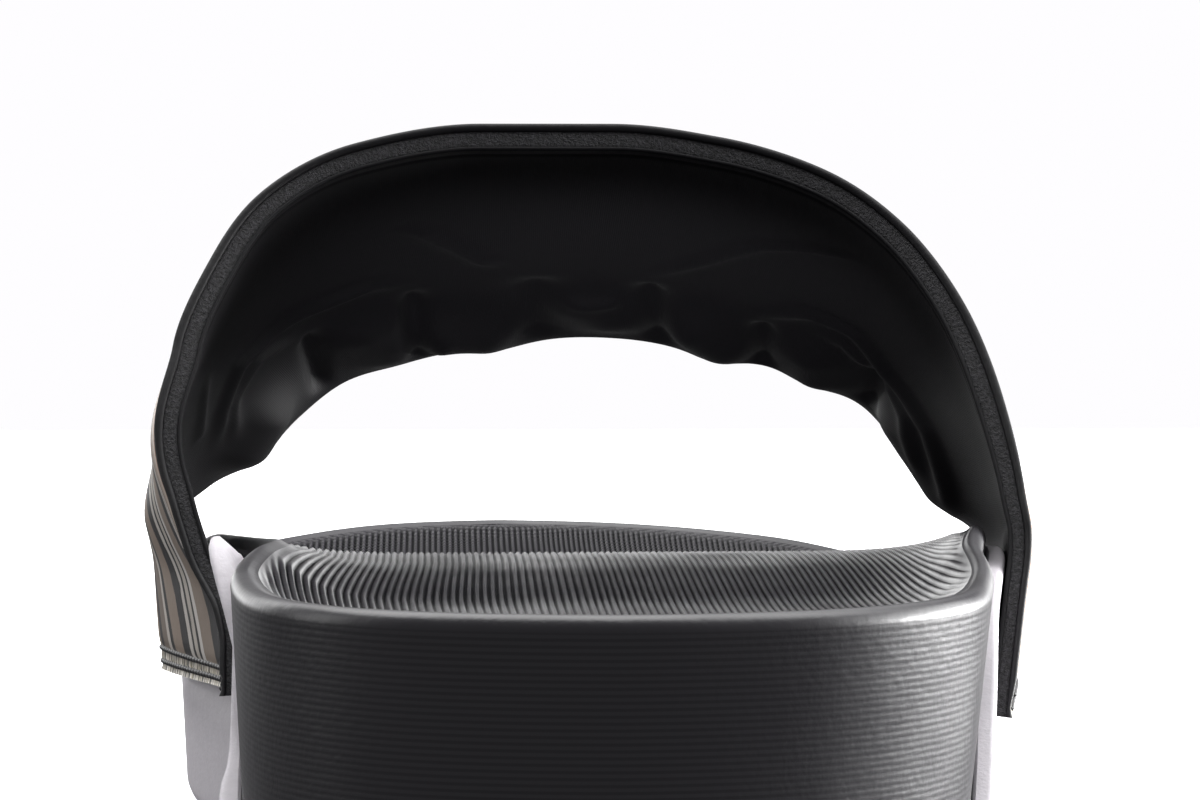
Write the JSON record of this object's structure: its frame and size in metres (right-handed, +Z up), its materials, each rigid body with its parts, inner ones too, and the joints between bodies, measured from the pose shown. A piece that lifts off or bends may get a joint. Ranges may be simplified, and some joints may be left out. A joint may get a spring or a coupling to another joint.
{
  "type": "slide sandal",
  "caption": "Backless sport slide sandal for the right foot: ribbed foam foot bed in a light outer sole, with one wide padded strap over the instep.",
  "frame": {"origin": "middle of the bounding box, at the floor under the sole", "axes": "+Z up, +Y from the heel to the toe, +X to the outer side of the right foot"},
  "size_m": [0.1204, 0.2864, 0.0924],
  "materials": {
    "outsole": "light-grey moulded foam, matte",
    "footbed": "dark grey ribbed foam, satin",
    "strap_lining": "black smooth lining over foam",
    "strap_cover": "printed synthetic leather, striped, matte"
  },
  "bodies": {
    "root": {"outsole": "outsole", "footbed": "footbed", "strap_pad": "strap_lining", "strap_cover": "strap_cover"}
  },
  "joints": []
}
